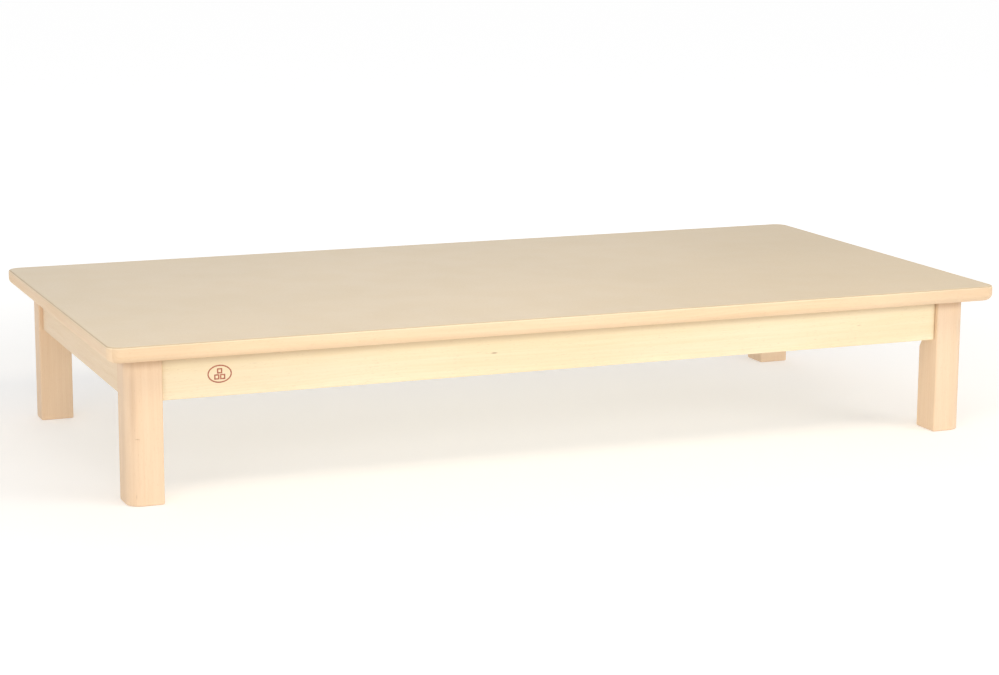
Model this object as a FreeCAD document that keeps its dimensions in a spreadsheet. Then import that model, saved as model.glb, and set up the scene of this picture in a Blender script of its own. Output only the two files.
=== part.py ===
import FreeCAD, Part
import os
import Sketcher
from FreeCAD import Placement, Rotation, Vector

# Low floor table for young children: a laminated top with a solid beech lipping
# stands on four short beech legs, joined by four rails and bolted corner plates.
#
# Millimetres, +Z up.  The origin is on the floor under the middle of the table,
# +X runs along the length and -Y is the front.

DIMENSIONS = {
    # table top, laminate over core and lipping, balancing sheet below
    "table_length": 1200,
    "table_width": 600,
    "table_height": 200,
    "laminate_thickness": 1,
    "core_thickness": 18,
    "backing_thickness": 1,
    "lipping_width": 20,
    "top_corner_radius": 18,
    "top_arris_radius": 3,
    "lower_arris_radius": 9,
    # legs
    "leg_size": 44,
    "leg_corner_radius": 18,
    "leg_edge_radius": 2,
    "end_overhang": 27,
    "side_overhang": 32,
    "leg_flat_depth": 14,
    "leg_flat_runout": 22,
    "leg_flat_below_rail": 17,
    # rails under the top
    "rail_height": 55,
    "rail_thickness": 20,
    "rail_setback": 6,
    "rail_edge_radius": 2,
    "slot_width": 2.6,
    "slot_depth": 8,
    # pressed corner plates
    "plate_thickness": 2,
    "plate_height": 40,
    "plate_gap": 12,
    "plate_lip_depth": 7,
    "plate_flap_length": 25,
    "plate_screw_spacing": 20,
    # hanger bolts with washers and nuts
    "bolt_diameter": 8,
    "bolt_tip": 6,
    "bolt_in_leg": 30,
    "bolt_length": 58,
    "bolt_hole": 9,
    "washer_diameter": 24,
    "washer_thickness": 2,
    "nut_corner_radius": 7.5,
    "nut_thickness": 6.5,
    # wood screws
    "screw_diameter": 4,
    "screw_tip": 4,
    "screw_reach": 16,
    "screw_head_diameter": 8,
    "screw_head_height": 2.4,
    "screw_recess_width": 1,
    "screw_recess_span": 4.4,
    "screw_recess_depth": 1.2,
    "screw_hole": 4.6,
    # angle clips that hold the top down on the rails
    "clip_width": 20,
    "clip_flange": 20,
    "clip_thickness": 2,
    "clip_hole_offset": 11,
    "clip_spacing": 360,
}

UNDERSIDE = "(dims.table_height - dims.laminate_thickness - dims.core_thickness - dims.backing_thickness)"
LIPPING_HEIGHT = "(dims.core_thickness + dims.backing_thickness)"
RAIL_BOTTOM = "(%s - dims.rail_height)" % UNDERSIDE
RAIL_INNER = "(dims.rail_setback + dims.rail_thickness)"

# Corner plates, measured from the outer corner of a leg: the face towards the leg crosses
# the diagonal where x + y is PLATE_SUM, and the flaps end at the slots in the rails.
PLATE_BOTTOM = "(%s + (dims.rail_height - dims.plate_height) / 2)" % RAIL_BOTTOM
PLATE_SUM = "(2 * dims.leg_size - dims.leg_flat_depth + dims.plate_gap * sqrt(2))"
FLAP_START = "(%s - %s)" % (PLATE_SUM, RAIL_INNER)
FLAP_END = "(%s + dims.plate_flap_length)" % FLAP_START
FLAP_MIDDLE = "(%s + dims.plate_flap_length / 2)" % FLAP_START
SLOT_PLAY = "(dims.slot_width - dims.plate_thickness) / 2"
SLOT_FROM_LEG = "%s - dims.leg_size - %s" % (FLAP_END, SLOT_PLAY)

# What a side of the table needs: its own length, the distance across to the opposite
# side, and how far the legs stand in from its ends and from its edge.
LONG_SIDE = {
    "length": "dims.table_length",
    "across": "dims.table_width",
    "end_inset": "dims.end_overhang",
    "leg_inset": "dims.side_overhang",
    "clip_steps": (-1, 0, 1),
}
SHORT_SIDE = {
    "length": "dims.table_width",
    "across": "dims.table_length",
    "end_inset": "dims.side_overhang",
    "leg_inset": "dims.end_overhang",
    "clip_steps": (0,),
}

# Each side, with its turn about Z from the front.
SIDES = {
    "front": (0, LONG_SIDE),
    "right": (90, SHORT_SIDE),
    "back": (180, LONG_SIDE),
    "left": (270, SHORT_SIDE),
}

# Each corner: its turn about Z, and on which side of the middle it lies in X and Y.
CORNERS = {
    "front_left": (0, -1, -1),
    "front_right": (90, 1, -1),
    "back_right": (180, 1, 1),
    "back_left": (270, -1, 1),
}


doc = FreeCAD.newDocument("floor_table")
sheet = doc.addObject("Spreadsheet::Sheet", "dims")
for row, (name, value) in enumerate(DIMENSIONS.items(), start=1):
    sheet.set("A%d" % row, name)
    sheet.set("B%d" % row, str(value))
    sheet.setAlias("B%d" % row, name)
doc.recompute()

parts = []


# ---------------------------------------------------------------- helpers

def place(item, across="0", along="0", height="0", turn=0, axis=Vector(0, 0, 1)):
    """Turn an object about an axis and bind its position to the sheet."""
    item.Placement = Placement(Vector(0, 0, 0), Rotation(axis, turn))
    item.setExpression("Placement.Base.x", across)
    item.setExpression("Placement.Base.y", along)
    item.setExpression("Placement.Base.z", height)
    return item


def keep(item, label):
    """Name an object as a sub-part that is written out."""
    item.Label = label
    parts.append(item)
    return item


def at_side(item, side, inset, height, shift="0", tilt=Rotation()):
    """Put an object beside one edge of the top: +Y inwards from the edge, +X along it."""
    turn, size = SIDES[side]
    reach = "(%s / 2 - (%s))" % (size["across"], inset)
    across, along = {
        "front": (shift, "-" + reach),
        "right": (reach, shift),
        "back": ("-(%s)" % shift, reach),
        "left": ("-" + reach, "-(%s)" % shift),
    }[side]
    place(item, across, along, height)
    item.Placement.Rotation = Rotation(Vector(0, 0, 1), turn).multiply(tilt)
    return item


def at_corner(item, corner):
    """Stand an object at the outer corner of a leg, with its inside towards the middle."""
    turn, side_x, side_y = CORNERS[corner]
    across = "%d * (dims.table_length / 2 - dims.end_overhang)" % side_x
    along = "%d * (dims.table_width / 2 - dims.side_overhang)" % side_y
    return place(item, across, along, "0", turn)


def new_body(name):
    return doc.addObject("PartDesign::Body", name)


def new_sketch(body, role, name, offset=None):
    """A sketch on one of the body's own origin planes."""
    plane = next(item for item in body.Origin.OriginFeatures if item.Role == role)
    sketch = body.newObject("Sketcher::SketchObject", name)
    sketch.AttachmentSupport = [(plane, "")]
    sketch.MapMode = "FlatFace"
    if offset:
        sketch.AttachmentOffset = offset
    return sketch


def value_of(formula):
    """The number that a formula on the sheet gives now."""
    result = sheet.evalExpression(formula.replace("dims.", ""))
    return float(getattr(result, "Value", result))


def fix_point(sketch, line, end, formulas):
    """Tie a point of the sketch to two formulas, measured from its origin."""
    for kind, axis_line, formula in (("DistanceX", -2, formulas[0]), ("DistanceY", -1, formulas[1])):
        value = value_of(formula)
        if abs(value) < 1e-9:
            sketch.addConstraint(Sketcher.Constraint("PointOnObject", line, end, axis_line))
        else:
            index = sketch.addConstraint(Sketcher.Constraint(kind, -1, 1, line, end, value))
            sketch.setExpression("Constraints[%d]" % index, formula)


def draw_polygon(sketch, points):
    """Closed outline whose corners stand at pairs of formulas."""
    values = [Vector(value_of(x), value_of(y), 0) for x, y in points]
    count = len(points)
    for index in range(count):
        sketch.addGeometry(Part.LineSegment(values[index], values[(index + 1) % count]), False)
    for index in range(count):
        sketch.addConstraint(Sketcher.Constraint("Coincident", (index - 1) % count, 2, index, 1))
        fix_point(sketch, index, 1, points[index])


def draw_circle(sketch, centre, diameter):
    """Circle whose centre and size follow formulas."""
    middle = Vector(value_of(centre[0]), value_of(centre[1]), 0)
    line = sketch.addGeometry(Part.Circle(middle, Vector(0, 0, 1), value_of(diameter) / 2), False)
    fix_point(sketch, line, 3, centre)
    index = sketch.addConstraint(Sketcher.Constraint("Diameter", line, value_of(diameter)))
    sketch.setExpression("Constraints[%d]" % index, diameter)


def pad(body, sketch, length, symmetric=False):
    feature = body.newObject("PartDesign::Pad", body.Name + "_pad")
    feature.Profile = sketch
    feature.setExpression("Length", length)
    if symmetric:
        feature.SideType = "Symmetric"
    sketch.Visibility = False
    doc.recompute()
    return feature


def cut_through(body, sketch):
    """Pocket through everything on both sides of the sketch; it has to remove material."""
    before = body.Shape.Volume
    feature = body.newObject("PartDesign::Pocket", sketch.Name + "_pocket")
    feature.Profile = sketch
    feature.Type = "ThroughAll"
    feature.SideType = "Symmetric"
    sketch.Visibility = False
    doc.recompute()
    if body.Shape.Volume > before - 1:
        raise RuntimeError("%s removed nothing" % feature.Name)
    return feature


def round_edges(body, radius, chosen, name):
    """Fillet the edges of the body's last feature that the test picks."""
    base = body.Tip
    names = ["Edge%d" % (index + 1) for index, edge in enumerate(base.Shape.Edges) if chosen(edge)]
    feature = body.newObject("PartDesign::Fillet", name)
    feature.Base = (base, names)
    feature.setExpression("Radius", radius)
    doc.recompute()
    return feature


def turned_body(name, outline):
    """Body of revolution about Z; the outline gives radius and height."""
    body = new_body(name)
    sketch = new_sketch(body, "XZ_Plane", name + "_outline")
    draw_polygon(sketch, outline)
    feature = body.newObject("PartDesign::Revolution", name + "_turning")
    feature.Profile = sketch
    feature.ReferenceAxis = (sketch, ["V_Axis"])
    feature.Angle = 360
    sketch.Visibility = False
    doc.recompute()
    return body


def copy_of(item, name):
    """A linked copy that has a place of its own."""
    link = doc.addObject("App::Link", name)
    link.LinkedObject = item
    link.LinkTransform = True
    return link


def group(name, items):
    compound = doc.addObject("Part::Compound", name)
    compound.Links = items
    return compound


def cut_from(base, tool, name):
    cut = doc.addObject("Part::Cut", name)
    cut.Base = base
    cut.Tool = tool
    return cut


def common_of(base, tool, name):
    common = doc.addObject("Part::Common", name)
    common.Base = base
    common.Tool = tool
    return common


def is_upright(edge):
    box = edge.BoundBox
    return box.ZLength > 1 and max(box.XLength, box.YLength) < 0.01


def stands_at(edge, places):
    """True for an upright edge over one of some points of the plan."""
    middle = edge.BoundBox.Center
    return is_upright(edge) and any(
        abs(middle.x - x) + abs(middle.y - y) < 0.01 for x, y in places
    )


def lies_at(edge, level):
    box = edge.BoundBox
    return abs(box.ZMin - level) < 0.01 and abs(box.ZMax - level) < 0.01


# ---------------------------------------------------------------- fasteners

def make_screw():
    """Pan-head wood screw, head up, with its tip at the origin and a cross recess."""
    shank = "dims.screw_diameter / 2"
    head = "dims.screw_head_diameter / 2"
    top = "(dims.screw_reach + dims.screw_head_height)"
    body = turned_body("wood_screw", [
        ("0", "0"),
        (shank, "dims.screw_tip"),
        (shank, "dims.screw_reach"),
        (head, "dims.screw_reach"),
        (head, "dims.screw_reach + dims.screw_head_height / 2"),
        ("dims.screw_head_diameter / 3", top),
        ("0", top),
    ])
    arm = "dims.screw_recess_width / 2"
    span = "dims.screw_recess_span / 2"
    top_plane = Placement(Vector(0, 0, 0), Rotation())
    sketch = new_sketch(body, "XY_Plane", "screw_recess", top_plane)
    sketch.setExpression("AttachmentOffset.Base.z", top)
    draw_polygon(sketch, [
        (span, "-" + arm), (span, arm), (arm, arm), (arm, span),
        ("-" + arm, span), ("-" + arm, arm), ("-" + span, arm), ("-" + span, "-" + arm),
        ("-" + arm, "-" + arm), ("-" + arm, "-" + span), (arm, "-" + span), (arm, "-" + arm),
    ])
    before = body.Shape.Volume
    recess = body.newObject("PartDesign::Pocket", "screw_recess_pocket")
    recess.Profile = sketch
    recess.setExpression("Length", "dims.screw_recess_depth")
    doc.recompute()
    if body.Shape.Volume > before - 1:
        raise RuntimeError("the screw recess removed nothing")
    return body


def make_hanger_bolt():
    """Headless bolt with its wood end at the origin, pointing down, and a bevelled free end."""
    radius = "dims.bolt_diameter / 2"
    bevel = "dims.bolt_diameter / 10"
    return turned_body("hanger_bolt", [
        ("0", "0"),
        (radius, "dims.bolt_tip"),
        (radius, "dims.bolt_length - " + bevel),
        ("%s - %s" % (radius, bevel), "dims.bolt_length"),
        ("0", "dims.bolt_length"),
    ])


def make_washer():
    inner = "dims.bolt_diameter / 2"
    outer = "dims.washer_diameter / 2"
    return turned_body("washer", [
        (inner, "0"),
        (outer, "0"),
        (outer, "dims.washer_thickness"),
        (inner, "dims.washer_thickness"),
    ])


def make_nut():
    """Hexagon nut, bored to the bolt."""
    hexagon = doc.addObject("Part::Prism", "nut_hexagon")
    hexagon.Polygon = 6
    hexagon.setExpression("Circumradius", "dims.nut_corner_radius")
    hexagon.setExpression("Height", "dims.nut_thickness")
    bore = doc.addObject("Part::Cylinder", "nut_bore")
    bore.setExpression("Radius", "dims.bolt_diameter / 2")
    bore.setExpression("Height", "dims.nut_thickness")
    return cut_from(hexagon, bore, "nut")


# ---------------------------------------------------------------- table top

def make_top_blank():
    """Outline of the whole top with its rounded corners and arrises; the layers are cut from it."""
    body = new_body("top_blank")
    sketch = new_sketch(body, "XY_Plane", "top_outline")
    half_length = "dims.table_length / 2"
    half_width = "dims.table_width / 2"
    draw_polygon(sketch, [
        ("-" + half_length, "-" + half_width),
        (half_length, "-" + half_width),
        (half_length, half_width),
        ("-" + half_length, half_width),
    ])
    thickness = "dims.table_height - %s" % UNDERSIDE
    pad(body, sketch, thickness)
    round_edges(body, "dims.top_corner_radius", is_upright, "top_corners")
    upper = value_of(thickness)
    round_edges(body, "dims.top_arris_radius", lambda edge: lies_at(edge, upper), "top_arris")
    round_edges(body, "dims.lower_arris_radius", lambda edge: lies_at(edge, 0), "lower_arris")
    return place(body, height=UNDERSIDE)


def make_top_laminate(blank):
    """Decorative sheet over core and lipping; the rounded arris runs through its edge."""
    slab = doc.addObject("Part::Box", "laminate_slab")
    slab.setExpression("Length", "dims.table_length")
    slab.setExpression("Width", "dims.table_width")
    slab.setExpression("Height", "dims.laminate_thickness")
    place(slab, "-dims.table_length / 2", "-dims.table_width / 2",
          "dims.table_height - dims.laminate_thickness")
    keep(common_of(blank, slab, "laminate_layer"), "top_laminate")


def make_lippings(blank):
    """Four solid beech strips round the core, mitred where they meet."""
    for side, (_, size) in SIDES.items():
        length = size["length"]
        strip = doc.addObject("Part::Wedge", "lipping_stock_" + side)
        strip.setExpression("Xmin", "-%s / 2" % length)
        strip.setExpression("Xmax", "%s / 2" % length)
        strip.setExpression("X2min", "-%s / 2 + dims.lipping_width" % length)
        strip.setExpression("X2max", "%s / 2 - dims.lipping_width" % length)
        strip.Ymin = 0
        strip.setExpression("Ymax", "dims.lipping_width")
        for bottom, top in (("Zmin", "Zmax"), ("Z2min", "Z2max")):
            setattr(strip, bottom, 0)
            strip.setExpression(top, LIPPING_HEIGHT)
        at_side(strip, side, "0", UNDERSIDE)
        keep(common_of(blank, strip, "lipping_cut_" + side), "lipping_" + side)


def make_board(name, thickness, height, pilots):
    """Sheet that fills the frame of lippings, drilled where the clip screws go in."""
    board = doc.addObject("Part::Box", name + "_stock")
    board.setExpression("Length", "dims.table_length - 2 * dims.lipping_width")
    board.setExpression("Width", "dims.table_width - 2 * dims.lipping_width")
    board.setExpression("Height", thickness)
    place(board, "dims.lipping_width - dims.table_length / 2",
          "dims.lipping_width - dims.table_width / 2", height)
    keep(cut_from(board, pilots, name + "_drilled"), name)


# ---------------------------------------------------------------- legs and rails

def make_leg_body(name):
    """Square leg from its outer corner, rounded there, with a flat for the corner plate inside."""
    body = new_body(name)
    sketch = new_sketch(body, "XY_Plane", name + "_section")
    size = "dims.leg_size"
    draw_polygon(sketch, [("0", "0"), (size, "0"), (size, size), ("0", size)])
    pad(body, sketch, UNDERSIDE)
    reach = value_of(size)
    outer = [(0, 0)]
    others = [(reach, 0), (reach, reach), (0, reach)]
    round_edges(body, "dims.leg_corner_radius", lambda edge: stands_at(edge, outer), name + "_corner")
    round_edges(body, "dims.leg_edge_radius", lambda edge: stands_at(edge, others), name + "_edges")
    round_edges(body, "dims.leg_edge_radius", lambda edge: lies_at(edge, 0), name + "_foot")

    # The flat is drawn in the upright plane through the leg's diagonal.
    diagonal = Placement(Vector(0, 0, 0), Rotation(Vector(0, 1, 0), 45))
    profile = new_sketch(body, "XZ_Plane", name + "_flat", diagonal)
    flat = "(2 * dims.leg_size - dims.leg_flat_depth) / sqrt(2)"
    corner = "2 * dims.leg_size / sqrt(2)"
    low = "(%s - dims.leg_flat_below_rail)" % RAIL_BOTTOM
    draw_polygon(profile, [
        (corner, low),
        (corner, UNDERSIDE),
        (flat, UNDERSIDE),
        (flat, low + " + dims.leg_flat_runout"),
    ])
    cut_through(body, profile)
    return body


def make_rail_body(side):
    """Rail with its outer face at Y = 0 and an upright slot near each end for a corner plate."""
    name = "rail_%s_body" % side
    _, size = SIDES[side]
    end = "(%s / 2 - %s - dims.leg_size)" % (size["length"], size["end_inset"])
    slot = "(%s - (%s))" % (end, SLOT_FROM_LEG)
    slot_end = "(%s - dims.slot_width)" % slot
    back = "dims.rail_thickness"
    floor = "(dims.rail_thickness - dims.slot_depth)"
    half = [(end, "0"), (end, back), (slot, back), (slot, floor), (slot_end, floor), (slot_end, back)]
    mirrored = [("-" + x, y) for x, y in reversed(half)]
    body = new_body(name)
    sketch = new_sketch(body, "XY_Plane", name + "_section")
    draw_polygon(sketch, half + mirrored)
    pad(body, sketch, "dims.rail_height")

    def is_seen(edge):
        """Both long lower edges and the upright outer edges at the ends."""
        box = edge.BoundBox
        is_long_lower = lies_at(edge, 0) and box.XLength > 4 * value_of(back)
        return is_long_lower or (is_upright(edge) and box.YMax < 0.01)

    round_edges(body, "dims.rail_edge_radius", is_seen, name + "_edges")
    return body


# ---------------------------------------------------------------- corner plates and clips


def make_corner_plate(name):
    """Pressed plate across the inside of a corner; its lips hook into the slots of both rails."""
    body = new_body(name)
    sketch = new_sketch(body, "XY_Plane", name + "_section")
    inner = "(%s + dims.plate_thickness)" % RAIL_INNER
    tip = "(%s - dims.plate_lip_depth)" % RAIL_INNER
    lip_back = "(%s + dims.plate_thickness)" % FLAP_END
    web_back = "(%s + dims.plate_thickness * sqrt(2) - %s)" % (PLATE_SUM, inner)
    half = [(FLAP_START, RAIL_INNER), (FLAP_END, RAIL_INNER), (FLAP_END, tip), (lip_back, tip),
            (lip_back, inner), (web_back, inner)]
    draw_polygon(sketch, half + [(y, x) for x, y in reversed(half)])
    pad(body, sketch, "dims.plate_height")

    middle = "dims.plate_height / 2"
    for role, flap in (("XZ_Plane", "front"), ("YZ_Plane", "side")):
        holes = new_sketch(body, role, "%s_%s_holes" % (name, flap))
        for sign in "-+":
            draw_circle(holes, (FLAP_MIDDLE, "%s %s dims.plate_screw_spacing / 2" % (middle, sign)),
                        "dims.screw_hole")
        cut_through(body, holes)
    square_on = Placement(Vector(0, 0, 0), Rotation(Vector(0, 1, 0), -45))
    bolt_hole = new_sketch(body, "XZ_Plane", name + "_bolt_hole", square_on)
    draw_circle(bolt_hole, ("0", middle), "dims.bolt_hole")
    cut_through(body, bolt_hole)
    return body


def make_clip():
    """Angle clip: one flange on the rail's inner face, one under the top; both drilled."""
    body = new_body("top_clip")
    profile = new_sketch(body, "YZ_Plane", "clip_section")
    wall = "dims.clip_thickness"
    reach = "dims.clip_flange"
    draw_polygon(profile, [
        ("0", "-" + reach), (wall, "-" + reach), (wall, "-" + wall),
        (reach, "-" + wall), (reach, "0"), ("0", "0"),
    ])
    pad(body, profile, "dims.clip_width", symmetric=True)
    for role, sign in (("XY_Plane", ""), ("XZ_Plane", "-")):
        hole = new_sketch(body, role, "clip_hole_" + role[:2].lower())
        draw_circle(hole, ("0", sign + "dims.clip_hole_offset"), "dims.screw_hole")
        cut_through(body, hole)
    return body


# ---------------------------------------------------------------- assembly

screw = make_screw()
bolt = make_hanger_bolt()
washer = make_washer()
nut = make_nut()
clip = make_clip()


def make_plate_screw_set():
    """The four screws of one corner plate, placed from the outer corner of the leg."""
    tip = "(%s + dims.plate_thickness - dims.screw_reach)" % RAIL_INNER
    items = []
    for level, sign in (("lower", "-"), ("upper", "+")):
        height = "%s + dims.plate_height / 2 %s dims.plate_screw_spacing / 2" % (PLATE_BOTTOM, sign)
        in_front = copy_of(screw, "plate_screw_front_" + level)
        items.append(place(in_front, FLAP_MIDDLE, tip, height, -90, Vector(1, 0, 0)))
        in_side = copy_of(screw, "plate_screw_side_" + level)
        items.append(place(in_side, tip, FLAP_MIDDLE, height, 90, Vector(0, 1, 0)))
    return group("plate_screw_set", items)


def at_bolt_axis(item, distance):
    """Lay a turned piece along a leg's diagonal, with its base at a distance from the corner."""
    part = "(%s) / sqrt(2)" % distance
    height = "%s + dims.plate_height / 2" % PLATE_BOTTOM
    return place(item, part, part, height, 90, Vector(-1, 1, 0))


def make_clip_sets():
    """Clips on all four rails, and their two kinds of screws, as three lists of copies."""
    clips = []
    into_rail = []
    into_top = []
    drop = "%s - dims.clip_hole_offset" % UNDERSIDE
    lift = "%s - dims.clip_thickness + dims.screw_reach" % UNDERSIDE
    head_inwards = Rotation(Vector(1, 0, 0), -90)
    head_down = Rotation(Vector(1, 0, 0), 180)
    for side, (_, size) in SIDES.items():
        rail_face = "%s + %s" % (size["leg_inset"], RAIL_INNER)
        rail_tip = rail_face + " + dims.clip_thickness - dims.screw_reach"
        hole = rail_face + " + dims.clip_hole_offset"
        for step in size["clip_steps"]:
            name = "%s_%d" % (side, step + 1)
            shift = "%d * dims.clip_spacing" % step
            angle = copy_of(clip, "clip_" + name)
            clips.append(at_side(angle, side, rail_face, UNDERSIDE, shift))
            rail_screw = copy_of(screw, "clip_rail_screw_" + name)
            into_rail.append(at_side(rail_screw, side, rail_tip, drop, shift, head_inwards))
            top_screw = copy_of(screw, "clip_top_screw_" + name)
            into_top.append(at_side(top_screw, side, hole, lift, shift, head_down))
    return clips, into_rail, into_top


clips, into_rail, into_top = make_clip_sets()
rail_screws = group("clip_rail_screws", into_rail)
top_screws = group("clip_top_screws", into_top)
plate_set = make_plate_screw_set()
plate_screws = group("plate_screws", [
    at_corner(copy_of(plate_set, "plate_screws_" + corner), corner) for corner in CORNERS
])

bolt_start = "2 * dims.leg_size / sqrt(2) - dims.leg_flat_depth / sqrt(2) - dims.bolt_in_leg"
plate_back = "%s / sqrt(2) + dims.plate_thickness" % PLATE_SUM
hardware = {
    "hanger_bolts": (bolt, bolt_start),
    "bolt_washers": (washer, plate_back),
    "bolt_nuts": (nut, plate_back + " + dims.washer_thickness"),
}
fittings = {}
for label, (piece, distance) in hardware.items():
    local = group(label + "_local", [at_bolt_axis(copy_of(piece, label + "_one"), distance)])
    copies = [at_corner(copy_of(local, "%s_%s" % (label, corner)), corner) for corner in CORNERS]
    fittings[label] = keep(group(label + "_set", copies), label)

blank = make_top_blank()
make_top_laminate(blank)
make_lippings(blank)
make_board("core_panel", "dims.core_thickness", UNDERSIDE + " + dims.backing_thickness", top_screws)
make_board("backing_laminate", "dims.backing_thickness", UNDERSIDE, top_screws)

for corner in CORNERS:
    leg = at_corner(make_leg_body("leg_body_" + corner), corner)
    keep(cut_from(leg, fittings["hanger_bolts"], "leg_drilled_" + corner), "leg_" + corner)
    plate = make_corner_plate("plate_body_" + corner)
    at_corner(plate, corner)
    plate.setExpression("Placement.Base.z", PLATE_BOTTOM)
    keep(plate, "corner_plate_" + corner)

rail_fixings = group("rail_fixings", [rail_screws, plate_screws])
for side, (_, size) in SIDES.items():
    rail = at_side(make_rail_body(side), side, size["leg_inset"] + " + dims.rail_setback", RAIL_BOTTOM)
    keep(cut_from(rail, rail_fixings, "rail_drilled_" + side), "rail_" + side)

keep(plate_screws, "corner_plate_screws")
keep(group("clip_set", clips), "top_clips")
keep(group("clip_screw_set", [rail_screws, top_screws]), "clip_screws")

# ---------------------------------------------------------------- checks and export

doc.recompute()
for item in doc.Objects:
    if "Invalid" in item.State or "Error" in item.State:
        raise RuntimeError("%s did not compute: %s" % (item.Name, item.State))
for item in parts:
    if item.Shape.isNull() or not item.Shape.isValid() or not item.Shape.Solids:
        raise RuntimeError("%s has no valid solid" % item.Label)

os.makedirs("parts", exist_ok=True)
for item in parts:
    item.Shape.exportStep("parts/%s.step" % item.Label)
    print("%-28s %2d solid(s) %12.1f mm3" % (item.Label, len(item.Shape.Solids), item.Shape.Volume))
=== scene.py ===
import math
import random

import bmesh
import bpy
from mathutils import Euler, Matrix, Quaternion, Vector


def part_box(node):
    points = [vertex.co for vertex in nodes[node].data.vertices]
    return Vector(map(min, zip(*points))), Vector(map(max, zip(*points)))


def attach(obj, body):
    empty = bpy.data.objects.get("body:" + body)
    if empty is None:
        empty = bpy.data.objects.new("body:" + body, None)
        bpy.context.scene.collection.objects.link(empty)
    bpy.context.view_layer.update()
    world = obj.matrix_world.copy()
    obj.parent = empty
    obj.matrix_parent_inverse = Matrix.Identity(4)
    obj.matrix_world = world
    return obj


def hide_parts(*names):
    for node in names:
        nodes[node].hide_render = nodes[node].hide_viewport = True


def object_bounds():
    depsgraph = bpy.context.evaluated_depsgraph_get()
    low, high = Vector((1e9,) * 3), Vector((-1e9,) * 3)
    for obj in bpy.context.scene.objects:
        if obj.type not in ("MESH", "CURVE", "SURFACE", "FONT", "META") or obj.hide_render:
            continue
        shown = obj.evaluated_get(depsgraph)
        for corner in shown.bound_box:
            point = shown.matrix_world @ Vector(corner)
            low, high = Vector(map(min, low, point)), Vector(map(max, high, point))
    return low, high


# Looks of a low floor table for young children: pale lacquered beech, a beige laminate
# top and zinc-plated fittings, in a white studio.  Metres, +Z up, -Y is the front.

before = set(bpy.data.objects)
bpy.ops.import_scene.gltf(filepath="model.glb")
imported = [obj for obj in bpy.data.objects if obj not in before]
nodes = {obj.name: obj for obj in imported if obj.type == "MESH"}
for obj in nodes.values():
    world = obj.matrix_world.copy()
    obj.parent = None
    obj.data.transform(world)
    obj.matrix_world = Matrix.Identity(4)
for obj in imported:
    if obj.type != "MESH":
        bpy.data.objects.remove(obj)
cad_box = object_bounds()

BODY = "root"
MILLIMETRE = 0.001

SIDES = ("front", "right", "back", "left")
CORNERS = ("front_left", "front_right", "back_right", "back_left")


# ---------------------------------------------------------------- camera and studio

CAMERA_AZIMUTH = math.radians(-22.144)
CAMERA_ELEVATION = math.radians(11.107)
CAMERA_ROLL = math.radians(0.291)
CAMERA_DISTANCE = 3.3876
CAMERA_TARGET = Vector((0.0086, 0.0023, 0.1156))
CAMERA_LENS = 89.93

# Each soft box: where it hangs, its width and height, its power in watts and its colour.
# All of them point where the camera does, near the middle of the table.
WHITE = (1.0, 1.0, 1.0)
WARM = (1.0, 0.86, 0.66)
SOFT_BOXES = {
    "camera_side": ((-1.0, -3.8, 1.6), (1.6, 1.2), 16.5, WHITE),
    "front_right": ((2.6, -3.2, 1.2), (1.8, 1.8), 30.0, WHITE),
    "front_left": ((-2.8, -2.6, 1.0), (1.8, 1.8), 18.0, WHITE),
    "near_strip": ((0.1, -0.95, 1.3), (2.6, 0.4), 9.5, WARM),
    "back": ((0.5, 3.2, 2.0), (2.5, 1.5), 14.0, WHITE),
}
# The sky fades from the horizon up, between two sines of the height angle.
SKY_STRENGTH = 0.53
HORIZON_STRENGTH = 1.0
HORIZON_START = 0.04
HORIZON_END = 0.2
# The floor glows a little, and more so away from the table, between two distances from
# the origin, like a lit studio sweep.
FLOOR_GLOW = 0.32
FAR_GLOW = 0.24
GLOW_START = 0.55
GLOW_END = 2.0
FLOOR_RADIUS = 45.0
FLOOR_SEGMENTS = 96
FLOOR_DROP = 0.3 * MILLIMETRE
FLOOR_COLOUR = (0.8, 0.8, 0.8, 1.0)
FLOOR_ROUGHNESS = 0.9


def add_camera():
    """The camera looks from the front left, low and from far off."""
    back = Vector((
        math.sin(CAMERA_AZIMUTH) * math.cos(CAMERA_ELEVATION),
        -math.cos(CAMERA_AZIMUTH) * math.cos(CAMERA_ELEVATION),
        math.sin(CAMERA_ELEVATION),
    ))
    data = bpy.data.cameras.new("camera")
    data.lens = CAMERA_LENS
    camera = bpy.data.objects.new("camera", data)
    bpy.context.scene.collection.objects.link(camera)
    camera.location = CAMERA_TARGET + back * CAMERA_DISTANCE
    camera.rotation_mode = "QUATERNION"
    level = (-back).to_track_quat("-Z", "Y")
    camera.rotation_quaternion = level @ Quaternion((0, 0, 1), CAMERA_ROLL)
    bpy.context.scene.camera = camera


def add_soft_box(name, place, size, power, colour):
    data = bpy.data.lights.new(name, "AREA")
    data.shape = "RECTANGLE"
    data.size, data.size_y = size
    data.energy = power
    data.color = colour
    light = bpy.data.objects.new(name, data)
    bpy.context.scene.collection.objects.link(light)
    light.location = place
    light.rotation_mode = "QUATERNION"
    light.rotation_quaternion = (CAMERA_TARGET - light.location).to_track_quat("-Z", "Y")


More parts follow.
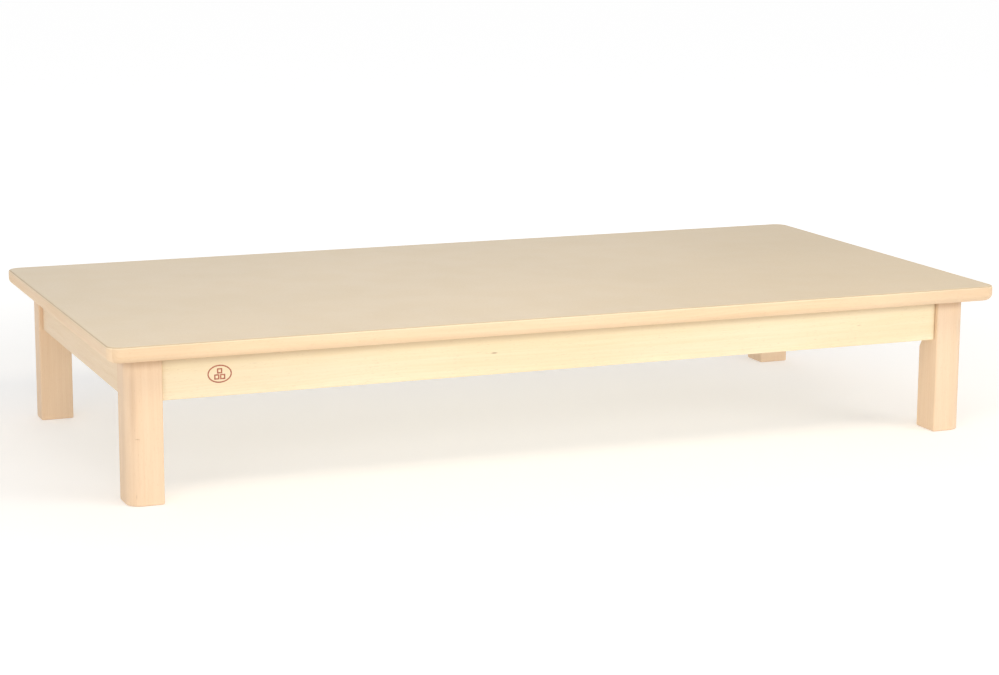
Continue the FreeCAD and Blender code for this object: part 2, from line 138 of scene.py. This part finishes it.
def add_sky():
    """White light from all round, brightest down at the horizon, where it meets the floor."""
    world = bpy.data.worlds.new("studio")
    bpy.context.scene.world = world
    world.use_nodes = True
    tree = world.node_tree
    background = tree.nodes["Background"]
    background.inputs["Color"].default_value = (1.0, 1.0, 1.0, 1.0)
    direction = tree.nodes.new("ShaderNodeTexCoord")
    parts = tree.nodes.new("ShaderNodeSeparateXYZ")
    fade = tree.nodes.new("ShaderNodeMapRange")
    fade.interpolation_type = "SMOOTHSTEP"
    fade.inputs["From Min"].default_value = HORIZON_START
    fade.inputs["From Max"].default_value = HORIZON_END
    fade.inputs["To Min"].default_value = HORIZON_STRENGTH
    fade.inputs["To Max"].default_value = SKY_STRENGTH
    tree.links.new(direction.outputs["Generated"], parts.inputs["Vector"])
    tree.links.new(parts.outputs["Z"], fade.inputs["Value"])
    tree.links.new(fade.outputs["Result"], background.inputs["Strength"])


# ---------------------------------------------------------------- material kit

def paint(red, green, blue):
    """The linear colour of a display colour given from 0 to 255."""
    def linear(value):
        share = value / 255
        if share <= 0.04045:
            return share / 12.92
        return ((share + 0.055) / 1.055) ** 2.4
    return (linear(red), linear(green), linear(blue), 1.0)


# The middle of a noise's range, which is stretched to run from 0 to 1.
MIDDLE = (0.3, 0.7)


class Look:
    """One material.  Most of its methods add a node and return one of its outputs."""

    def __init__(self, name):
        self.material = bpy.data.materials.new(name)
        self.material.use_nodes = True
        self.tree = self.material.node_tree
        self.shader = self.tree.nodes["Principled BSDF"]
        self.place = self.add("TexCoord").outputs["Object"]
        self.normal = self.add("NewGeometry").outputs["Normal"]

    def add(self, kind, inputs=(), **settings):
        node = self.tree.nodes.new("ShaderNode" + kind)
        for setting, value in settings.items():
            setattr(node, setting, value)
        for name, value in dict(inputs).items():
            self.feed(node.inputs[name], value)
        return node

    def feed(self, socket, value):
        if isinstance(value, bpy.types.NodeSocket):
            self.tree.links.new(value, socket)
        else:
            socket.default_value = value

    def number(self, operation, *values):
        return self.add("Math", enumerate(values), operation=operation).outputs[0]

    def vector(self, operation, *values):
        node = self.add("VectorMath", enumerate(values), operation=operation)
        scalar = operation in ("LENGTH", "DOT_PRODUCT", "DISTANCE")
        return node.outputs["Value" if scalar else "Vector"]

    def part(self, vector, axis):
        return self.add("SeparateXYZ", {0: vector}).outputs[axis]

    def ramp(self, value, start, end, low=0.0, high=1.0):
        """A smooth step from low, where the value is at start, to high at end."""
        node = self.add("MapRange", {
            "Value": value,
            "From Min": start,
            "From Max": end,
            "To Min": low,
            "To Max": high,
        }, interpolation_type="SMOOTHSTEP")
        return node.outputs["Result"]

    def noise(self, place, cell, detail=2.0, output="Fac"):
        """Noise with cells of the given size, one length or three."""
        sizes = (cell,) * 3 if isinstance(cell, float) else cell
        scaled = self.vector("MULTIPLY", place, [1 / size for size in sizes])
        node = self.add("TexNoise", {"Vector": scaled, "Scale": 1.0, "Detail": detail})
        return node.outputs[output]

    def chips(self, place, cell, feature="F1", output="Distance"):
        """Voronoi cells of the given size."""
        sizes = (cell,) * 3 if isinstance(cell, float) else cell
        scaled = self.vector("MULTIPLY", place, [1 / size for size in sizes])
        node = self.add("TexVoronoi", {"Vector": scaled, "Scale": 1.0}, feature=feature)
        return node.outputs[output]

    def mix(self, share, first, second):
        node = self.add("Mix", {0: share, 6: first, 7: second}, data_type="RGBA")
        return node.outputs[2]

    def sum_of(self, *weighted):
        """The sum of values, each given with its weight."""
        total = 0.0
        for value, weight in weighted:
            total = self.number("MULTIPLY_ADD", value, weight, total)
        return total

    def bump(self, height, distance, strength=1.0):
        node = self.add("Bump", {"Height": height, "Distance": distance, "Strength": strength})
        self.feed(self.shader.inputs["Normal"], node.outputs["Normal"])

    def finish(self, **sockets):
        """Set shader inputs by name, with underscores for spaces, and return the material."""
        for name, value in sockets.items():
            self.feed(self.shader.inputs[name.replace("_", " ")], value)
        return self.material


# ---------------------------------------------------------------- floor

def add_floor():
    """A white floor that is opaque from above and clear from below."""
    shape = bmesh.new()
    bmesh.ops.create_circle(shape, cap_ends=True, segments=FLOOR_SEGMENTS, radius=FLOOR_RADIUS)
    mesh = bpy.data.meshes.new("floor")
    shape.to_mesh(mesh)
    shape.free()
    floor = bpy.data.objects.new("floor", mesh)
    bpy.context.scene.collection.objects.link(floor)
    floor.location.z = cad_box[0].z - FLOOR_DROP
    look = Look("floor_white")
    away = look.vector("LENGTH", look.place)
    glow = look.ramp(away, GLOW_START, GLOW_END, FLOOR_GLOW, FLOOR_GLOW + FAR_GLOW)
    floor.data.materials.append(look.finish(
        Base_Color=FLOOR_COLOUR,
        Roughness=FLOOR_ROUGHNESS,
        Specular_IOR_Level=0.0,
        Emission_Color=(1.0, 1.0, 1.0, 1.0),
        Emission_Strength=glow,
    ))
    clear = look.add("BsdfTransparent").outputs[0]
    behind = look.add("NewGeometry").outputs["Backfacing"]
    choice = look.add("MixShader", {0: behind, 1: look.shader.outputs[0], 2: clear})
    look.feed(look.tree.nodes["Material Output"].inputs["Surface"], choice.outputs[0])


# ---------------------------------------------------------------- wood

# Turns that bring the grain of a piece onto X.
GRAIN_TURN = {
    "x": Euler((0.0, 0.0, 0.0)),
    "y": Euler((0.0, 0.0, -math.pi / 2)),
    "z": Euler((0.0, math.pi / 2, 0.0)),
}
GRAIN_AXIS = {"x": (1, 0, 0), "y": (0, 1, 0), "z": (0, 0, 1)}

RING_WIDTH = 2.6 * MILLIMETRE
PITH_DISTANCE = (0.055, 0.12)
MOST_TILT = math.radians(1.3)
MOST_SHIFT = 5.0

# Sizes of the figure in the wood, in metres: along the grain, then twice across it.
SWAY_CELL = (0.5, 0.06, 0.06)
RING_PATCH_CELL = (0.6, 0.02, 0.02)
BROAD_CELL = (0.16, 0.006, 0.006)
FINE_CELL = (0.03, 0.0009, 0.0009)
DRIFT_CELL = (0.4, 0.06, 0.06)
RAY_CELL = (0.006, 0.0007, 0.0007)
PORE_CELL = 0.0007
SWAY_REACH = 0.016

# Parts of a year: where the late wood rises from and to, and where it ends.
LATE_WOOD_RISE = (0.25, 0.9)
LATE_WOOD_END = (0.92, 1.0)
RAY_SPAN = (0.62, 0.76)

# How far each part of the figure goes from light to dark wood.
RING_WEIGHT = 0.20
BROAD_WEIGHT = 0.30
FINE_WEIGHT = 0.16
DRIFT_WEIGHT = 0.40
# How far the rays, the end grain and the painted edge highlight take their own colour.
RAY_SHARE = 0.17
END_SHARE = 0.6
EDGE_HIGHLIGHT_SHARE = 0.4

# Light and dark wood of each kind of piece.
TONES = {
    "lipping": (paint(238, 212, 180), paint(229, 198, 160)),
    "leg": (paint(236, 210, 181), paint(226, 195, 161)),
    "long_rail": (paint(246, 232, 201), paint(239, 219, 180)),
    "short_rail": (paint(240, 218, 188), paint(229, 204, 170)),
}
RAY_BROWN = paint(176, 128, 84)
# Dark brown of knots, flecks and streaks, and of the painted shade close under the top.
KNOT_AND_SHADE_BROWN = paint(150, 108, 72)
END_TAN = paint(214, 176, 130)
# Colour of the painted highlight on rounded edges that face up.
EDGE_HIGHLIGHT_CREAM = paint(252, 242, 216)
# Rails and legs get a painted shade close under the top, which deepens the soft shadow
# of the overhang.  The shade starts and is full at these depths under the piece's top.
UNDER_TOP_SHADE = 0.40
SHADE_DEPTHS = (16 * MILLIMETRE, 5 * MILLIMETRE)


def beech(node, kind, grain, marks=()):
    """Lacquered beech for one board: year rings about a pith outside the board, fibres,
    ray flecks, slow drifts of tone, darker end grain, a painted highlight on rounded edges
    that face up and, on rails and legs, a painted shade close under the top.  Each mark is a
    darker patch or streak: its middle, its three half lengths and its strength."""
    draw = random.Random(node)
    light, dark = TONES[kind]
    look = Look("beech_" + node)

    low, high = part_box(node)
    turn = GRAIN_TURN[grain].copy()
    turn.z += draw.uniform(-MOST_TILT, MOST_TILT)
    direction = draw.uniform(0.0, 2 * math.pi)
    distance = draw.uniform(*PITH_DISTANCE)
    shift = Vector((
        draw.uniform(0.0, MOST_SHIFT),
        distance * math.cos(direction),
        distance * math.sin(direction),
    ))
    middle = (low + high) / 2
    middle.rotate(turn)
    board = look.add("Mapping", {
        "Vector": look.place,
        "Location": shift - middle,
        "Rotation": turn,
    }).outputs["Vector"]

    # year rings
    sway = look.noise(board, SWAY_CELL, output="Color")
    sway = look.vector("SUBTRACT", sway, (0.5, 0.5, 0.5))
    swayed = look.vector("MULTIPLY_ADD", sway, (0.0, SWAY_REACH, SWAY_REACH), board)
    radius = look.vector("LENGTH", look.vector("MULTIPLY", swayed, (0.0, 1.0, 1.0)))
    year = look.number("FRACT", look.number("DIVIDE", radius, RING_WIDTH))
    rise = look.ramp(year, *LATE_WOOD_RISE)
    late_wood = look.number("SUBTRACT", rise, look.ramp(year, *LATE_WOOD_END))
    ring_strength = look.ramp(look.noise(board, RING_PATCH_CELL), 0.35, 0.65, 0.35, 1.0)
    rings = look.number("MULTIPLY", late_wood, ring_strength)

    # fibres, rays and drifts of tone
    broad = look.ramp(look.noise(board, BROAD_CELL, detail=3.0), *MIDDLE)
    fine = look.ramp(look.noise(board, FINE_CELL), *MIDDLE)
    drift = look.ramp(look.noise(board, DRIFT_CELL), *MIDDLE)
    rays = look.ramp(look.noise(board, RAY_CELL, detail=1.0), *RAY_SPAN)

    shade = look.sum_of(
        (rings, RING_WEIGHT),
        (broad, BROAD_WEIGHT),
        (fine, FINE_WEIGHT),
        (drift, DRIFT_WEIGHT),
    )
    colour = look.mix(shade, light, dark)
    colour = look.mix(look.number("MULTIPLY", rays, RAY_SHARE), colour, RAY_BROWN)

    # end grain: darker, with open pores
    ends = look.number("ABSOLUTE", look.vector("DOT_PRODUCT", look.normal, GRAIN_AXIS[grain]))
    ends = look.ramp(ends, 0.6, 0.9)
    pores = look.ramp(look.chips(board, PORE_CELL), 0.12, 0.3, 1.0, 0.0)
    end_colour = look.mix(look.sum_of((pores, 0.35), (rings, 0.35)), END_TAN, RAY_BROWN)
    colour = look.mix(look.number("MULTIPLY", ends, END_SHARE), colour, end_colour)

    # rounded edges that face up get a painted highlight, a little lighter
    slopes = look.vector("ABSOLUTE", look.normal)
    flattest = look.number("MAXIMUM", look.part(slopes, "X"), look.part(slopes, "Y"))
    flattest = look.number("MAXIMUM", flattest, look.part(slopes, "Z"))
    edges = look.ramp(flattest, 0.99, 0.9)
    upward = look.ramp(look.part(look.normal, "Z"), 0.1, 0.4)
    painted_highlight = look.number("MULTIPLY", edges, upward)
    colour = look.mix(look.number("MULTIPLY", painted_highlight, EDGE_HIGHLIGHT_SHARE), colour, EDGE_HIGHLIGHT_CREAM)

    # painted shade close under the top of rails and legs
    if kind != "lipping":
        start, end = (high.z - depth for depth in SHADE_DEPTHS)
        under_top = look.ramp(look.part(look.place, "Z"), start, end)
        colour = look.mix(look.number("MULTIPLY", under_top, UNDER_TOP_SHADE), colour, KNOT_AND_SHADE_BROWN)

    for centre, half_lengths, strength in marks:
        offset = look.vector("SUBTRACT", look.place, centre)
        offset = look.vector("DIVIDE", offset, half_lengths)
        streak = look.ramp(look.vector("LENGTH", offset), 1.0, 0.2)
        colour = look.mix(look.number("MULTIPLY", streak, strength), colour, KNOT_AND_SHADE_BROWN)

    roughness = look.sum_of((fine, 0.06), (broad, 0.05), (ends, 0.15), (edges, -0.04))
    roughness = look.number("ADD", roughness, 0.46)
    height = look.sum_of((fine, 0.45), (rays, -0.5), (rings, 0.25), (pores, -0.4))
    look.bump(height, 0.05 * MILLIMETRE)
    return look.finish(Base_Color=colour, Roughness=roughness, Specular_IOR_Level=0.35)


# ---------------------------------------------------------------- boards

LAMINATE_LIGHT = paint(234, 217, 190)
LAMINATE_DARK = paint(227, 210, 182)
LAMINATE_CORE = paint(206, 182, 148)
DECOR_THICKNESS = 0.25 * MILLIMETRE

CHIP_CELL = (0.004, 0.0025, 0.0012)
CHIP_LIGHT = paint(226, 196, 148)
CHIP_DARK = paint(176, 134, 88)
CHIP_GAP = paint(120, 86, 54)

BACKING_LIGHT = paint(240, 234, 220)
BACKING_DARK = paint(229, 222, 206)


def laminate():
    """Beige laminate with a faint mottle, a fine matt texture and a brown core, which
    shows where the rounded edge cuts through the sheet."""
    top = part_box("top_laminate")[1].z
    look = Look("beige_laminate")
    cloud = look.ramp(look.noise(look.place, 0.22, detail=3.0), *MIDDLE)
    mottle = look.ramp(look.noise(look.place, 0.004), 0.35, 0.65)
    speck = look.ramp(look.noise(look.place, 0.0011, detail=1.0), *MIDDLE)
    shade = look.sum_of((cloud, 0.45), (mottle, 0.25), (speck, 0.3))
    colour = look.mix(shade, LAMINATE_LIGHT, LAMINATE_DARK)
    height = look.part(look.place, "Z")
    core = look.ramp(height, top - DECOR_THICKNESS, top - DECOR_THICKNESS * 1.3)
    colour = look.mix(core, colour, LAMINATE_CORE)
    roughness = look.ramp(look.noise(look.place, 0.05), *MIDDLE, 0.44, 0.52)
    grit = look.sum_of((look.noise(look.place, 0.0012), 1.0), (mottle, 0.25))
    look.bump(grit, 0.04 * MILLIMETRE)
    return look.finish(Base_Color=colour, Roughness=roughness, Specular_IOR_Level=0.4)


def core_board():
    """Raw particle board: pressed chips of many shades, lying flat."""
    look = Look("particle_board")
    tint = look.part(look.chips(look.place, CHIP_CELL, output="Color"), "X")
    rims = look.chips(look.place, CHIP_CELL, feature="DISTANCE_TO_EDGE")
    gaps = look.ramp(rims, 0.0, 0.08, 1.0, 0.0)
    dust = look.ramp(look.noise(look.place, 0.001, detail=3.0), *MIDDLE)
    colour = look.mix(look.sum_of((tint, 0.7), (dust, 0.3)), CHIP_LIGHT, CHIP_DARK)
    colour = look.mix(look.number("MULTIPLY", gaps, 0.6), colour, CHIP_GAP)
    height = look.sum_of((tint, 0.6), (gaps, -1.0), (dust, 0.3))
    look.bump(height, 0.2 * MILLIMETRE)
    return look.finish(Base_Color=colour, Roughness=look.ramp(dust, 0.0, 1.0, 0.7, 0.9))


def backing():
    """Off-white balancing sheet with a faint fibre and an orange-peel surface."""
    look = Look("balancing_sheet")
    fibre = look.ramp(look.noise(look.place, (0.03, 0.0015, 0.0015)), *MIDDLE)
    cloud = look.ramp(look.noise(look.place, 0.15, detail=3.0), *MIDDLE)
    shade = look.sum_of((fibre, 0.5), (cloud, 0.5))
    colour = look.mix(shade, BACKING_LIGHT, BACKING_DARK)
    look.bump(look.noise(look.place, 0.002), 0.05 * MILLIMETRE)
    return look.finish(Base_Color=colour, Roughness=look.ramp(cloud, 0.0, 1.0, 0.5, 0.62))


# ---------------------------------------------------------------- metal and ink

DULL_SHARE = 0.72
INK_THICK = paint(158, 80, 58)
INK_THIN = paint(196, 128, 96)


def zinc(name, tint, crystal, polish):
    """Bright zinc: crystals a little different in tone and polish, with fine scratches.
    The crystal size is in metres, and polish is the lowest roughness."""
    look = Look(name)
    crystals = look.part(look.chips(look.place, crystal, output="Color"), "X")
    scratches = look.ramp(look.noise(look.place, (0.02, 0.0004, 0.0004)), 0.35, 0.65)
    stain = look.ramp(look.noise(look.place, 0.012, detail=3.0), 0.35, 0.7)
    shade = look.sum_of((crystals, 0.45), (scratches, 0.2), (stain, 0.35))
    dull = [channel * DULL_SHARE for channel in tint[:3]] + [1.0]
    colour = look.mix(shade, tint, dull)
    roughness = look.sum_of((crystals, 0.10), (scratches, 0.08), (stain, 0.10))
    roughness = look.number("ADD", roughness, polish)
    look.bump(look.sum_of((scratches, 0.5), (crystals, 0.2)), 0.02 * MILLIMETRE)
    return look.finish(Base_Color=colour, Roughness=roughness, Metallic=1.0)


def stamp_ink():
    """Red-brown stamp ink, thinner in patches where the wood shows through."""
    look = Look("stamp_ink")
    patches = look.ramp(look.noise(look.place, 0.0016, detail=3.0), 0.35, 0.75)
    colour = look.mix(patches, INK_THICK, INK_THIN)
    look.bump(patches, 0.02 * MILLIMETRE)
    return look.finish(Base_Color=colour, Roughness=look.ramp(patches, 0.0, 1.0, 0.5, 0.7))


# ---------------------------------------------------------------- new pieces

MARK_WIDTH = 30 * MILLIMETRE
MARK_HEIGHT = 22 * MILLIMETRE
MARK_LINE = 1.6 * MILLIMETRE
MARK_FROM_END = 71 * MILLIMETRE
MARK_POINTS = 72
INK_PROUD = 0.06 * MILLIMETRE
INK_SUNK = 0.1 * MILLIMETRE
BLOCK_SIZE = 6.4 * MILLIMETRE
BLOCK_GAP = 0.8 * MILLIMETRE


def new_piece(name, shape, material):
    """Turn a bmesh into a piece of the table with one material."""
    bmesh.ops.recalc_face_normals(shape, faces=shape.faces)
    mesh = bpy.data.meshes.new(name)
    shape.to_mesh(mesh)
    shape.free()
    mesh.materials.append(material)
    piece = bpy.data.objects.new(name, mesh)
    bpy.context.scene.collection.objects.link(piece)
    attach(piece, BODY)
    return piece


def add_band(shape, outer, inner, front, back):
    """A closed flat band between two outlines of (x, z) points, from front to back in y."""
    loops = [
        [shape.verts.new((x, y, z)) for x, z in outline]
        for outline, y in ((outer, front), (inner, front), (inner, back), (outer, back))
    ]
    count = len(outer)
    for first, second in zip(loops, loops[1:] + loops[:1]):
        for i in range(count):
            j = (i + 1) % count
            shape.faces.new((first[i], first[j], second[j], second[i]))


def oval(centre, half_width, half_height):
    turns = [2 * math.pi * i / MARK_POINTS for i in range(MARK_POINTS)]
    return [
        (centre.x + half_width * math.cos(turn), centre.z + half_height * math.sin(turn))
        for turn in turns
    ]


def square(centre, half):
    corners = ((-half, -half), (half, -half), (half, half), (-half, half))
    return [(centre.x + x, centre.z + z) for x, z in corners]


def add_stamp():
    """A plain stamp on the front rail: three stacked toy blocks in an oval ring."""
    low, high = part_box("rail_front")
    front = low.y - INK_PROUD
    back = low.y + INK_SUNK
    middle = Vector((low.x + MARK_FROM_END, low.y, (low.z + high.z) / 2))
    shape = bmesh.new()
    add_band(
        shape,
        oval(middle, MARK_WIDTH / 2, MARK_HEIGHT / 2),
        oval(middle, MARK_WIDTH / 2 - MARK_LINE, MARK_HEIGHT / 2 - MARK_LINE),
        front, back,
    )
    step = BLOCK_SIZE + BLOCK_GAP
    for across, up in ((-0.5, -0.5), (0.5, -0.5), (0.0, 0.5)):
        centre = middle + Vector((across * step, 0.0, up * step))
        half = BLOCK_SIZE / 2
        add_band(shape, square(centre, half), square(centre, half - MARK_LINE), front, back)
    new_piece("printed_stamp", shape, stamp_ink())


BOLT_RADIUS = 4 * MILLIMETRE
BOLT_LENGTH = 58 * MILLIMETRE
BOLT_TIP = 6 * MILLIMETRE
BLUNT_SHARE = 0.02
THREAD_START = 31 * MILLIMETRE
THREAD_PITCH = 1.25 * MILLIMETRE
THREAD_DEPTH = 0.65 * MILLIMETRE
THREAD_STEPS = 6
BOLT_POINTS = 32


def bolt_radius(along, turn):
    """Radius of a hanger bolt at a distance from its point and a turn from 0 to 1."""
    if along < BOLT_TIP:
        return BOLT_RADIUS * along / BOLT_TIP
    if along < THREAD_START:
        return BOLT_RADIUS
    phase = (along / THREAD_PITCH - turn) % 1.0
    groove = 1.0 - abs(2.0 * phase - 1.0)
    runout = min(1.0, (BOLT_LENGTH - along) / THREAD_PITCH)
    return BOLT_RADIUS - THREAD_DEPTH * max(groove, 1.0 - runout)


def add_threaded_bolt(shape, point, inward):
    """One hanger bolt: a point and plain shank in the leg, and a machine thread outside."""
    threads = round((BOLT_LENGTH - THREAD_START) / THREAD_PITCH * THREAD_STEPS)
    stations = [BOLT_TIP * BLUNT_SHARE, BOLT_TIP]
    stations += [
        THREAD_START + (BOLT_LENGTH - THREAD_START) * i / threads
        for i in range(threads + 1)
    ]
    upward = Vector((0.0, 0.0, 1.0))
    sideways = inward.cross(upward)
    rings = []
    for along in stations:
        ring = []
        for i in range(BOLT_POINTS):
            turn = i / BOLT_POINTS
            radius = bolt_radius(along, turn)
            angle = 2 * math.pi * turn
            spoke = sideways * math.cos(angle) + upward * math.sin(angle)
            ring.append(shape.verts.new(point + inward * along + spoke * radius))
        rings.append(ring)
    for first, second in zip(rings, rings[1:]):
        for i in range(BOLT_POINTS):
            j = (i + 1) % BOLT_POINTS
            shape.faces.new((first[i], first[j], second[j], second[i]))
    shape.faces.new(rings[0])
    shape.faces.new(reversed(rings[-1]))


def add_bolts(material):
    """Hanger bolts with real threads.  Each lies on the diagonal of its corner, and its
    point is the outermost corner of the bolts' box."""
    low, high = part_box("hanger_bolts")
    shape = bmesh.new()
    for x_side in (-1, 1):
        for y_side in (-1, 1):
            point = Vector((x_side * high.x, y_side * high.y, (low.z + high.z) / 2))
            inward = Vector((-x_side, -y_side, 0.0)).normalized()
            add_threaded_bolt(shape, point, inward)
    bolts = new_piece("threaded_hanger_bolts", shape, material)
    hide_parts("hanger_bolts")


# ---------------------------------------------------------------- the table

def cover(node, material):
    """Give a CAD node one material all over."""
    for slot in nodes[node].material_slots:
        slot.material = material


# Half lengths of the marks on single boards, in metres along X, Y and Z.
FLECK = (0.006, 0.004, 0.0013)
FAINT_FLECK = (0.005, 0.004, 0.0010)
LONG_FLECK = (0.012, 0.004, 0.0012)
WARM_RAIL_END = (0.35, 0.2, 0.2)
WARM_LEFT_END = (0.16, 0.1, 0.1)
WARM_RIGHT_END = (0.22, 0.1, 0.1)
LEG_STREAK = (0.006, 0.008, 0.075)
LEG_FLECK = (0.004, 0.004, 0.0012)
LEG_NICK = (0.001, 0.004, 0.005)
LEG_PATCH = (0.036, 0.02, 0.075)


def board_marks():
    """Small flecks, streaks and warmer ends that single boards have: for each board, the
    middle, half lengths and strength of every mark."""
    rail_low, rail_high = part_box("rail_front")
    rail_length = rail_high.x - rail_low.x
    rail_middle = (rail_low.z + rail_high.z) / 2
    lip_low, lip_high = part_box("lipping_front")
    leg_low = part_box("leg_front_left")[0]
    back_low, back_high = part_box("leg_back_left")

    def on_rail(share, height):
        return (rail_low.x + share * rail_length, rail_low.y, height)

    return {
        "rail_front": [
            (on_rail(0.40, rail_middle), FLECK, 0.65),
            (on_rail(0.89, rail_middle), FAINT_FLECK, 0.25),
            (on_rail(0.93, rail_high.z), LONG_FLECK, 0.20),
            (on_rail(0.0, rail_middle), WARM_RAIL_END, 0.10),
        ],
        "lipping_front": [
            ((lip_low.x, lip_low.y, lip_low.z), WARM_LEFT_END, 0.11),
            ((lip_high.x, lip_low.y, lip_low.z), WARM_RIGHT_END, 0.16),
        ],
        "leg_front_left": [
            ((leg_low.x + 0.008, leg_low.y + 0.004, 0.130), LEG_STREAK, 0.17),
            ((leg_low.x + 0.012, leg_low.y, 0.082), LEG_FLECK, 0.35),
            ((leg_low.x + 0.010, leg_low.y, 0.012), LEG_NICK, 0.35),
        ],
        "leg_back_left": [
            ((back_high.x, back_low.y, 0.0), LEG_PATCH, 0.10),
        ],
    }


def add_wood():
    marks = board_marks()
    for side in SIDES:
        is_long = side in ("front", "back")
        grain = "x" if is_long else "y"
        lipping = "lipping_" + side
        cover(lipping, beech(lipping, "lipping", grain, marks.get(lipping, ())))
        rail = "rail_" + side
        kind = "long_rail" if is_long else "short_rail"
        cover(rail, beech(rail, kind, grain, marks.get(rail, ())))
    for corner in CORNERS:
        leg = "leg_" + corner
        cover(leg, beech(leg, "leg", "z", marks.get(leg, ())))


def add_fittings():
    plates = zinc("plate_zinc", (0.72, 0.73, 0.74, 1.0), 0.005, 0.28)
    washers = zinc("washer_zinc", (0.58, 0.59, 0.60, 1.0), 0.003, 0.34)
    nuts = zinc("nut_zinc", (0.84, 0.84, 0.82, 1.0), 0.003, 0.18)
    screws = zinc("screw_zinc", (0.80, 0.77, 0.70, 1.0), 0.002, 0.22)
    bolts = zinc("bolt_zinc", (0.66, 0.65, 0.62, 1.0), 0.002, 0.24)
    for corner in CORNERS:
        cover("corner_plate_" + corner, plates)
    cover("top_clips", plates)
    cover("bolt_washers", washers)
    cover("bolt_nuts", nuts)
    cover("corner_plate_screws", screws)
    cover("clip_screws", screws)
    add_bolts(bolts)


bpy.context.scene.view_settings.view_transform = "Standard"
add_camera()
for light_name, settings in SOFT_BOXES.items():
    add_soft_box(light_name, *settings)
add_sky()
add_floor()

add_wood()
cover("top_laminate", laminate())
cover("core_panel", core_board())
cover("backing_laminate", backing())
add_fittings()
add_stamp()
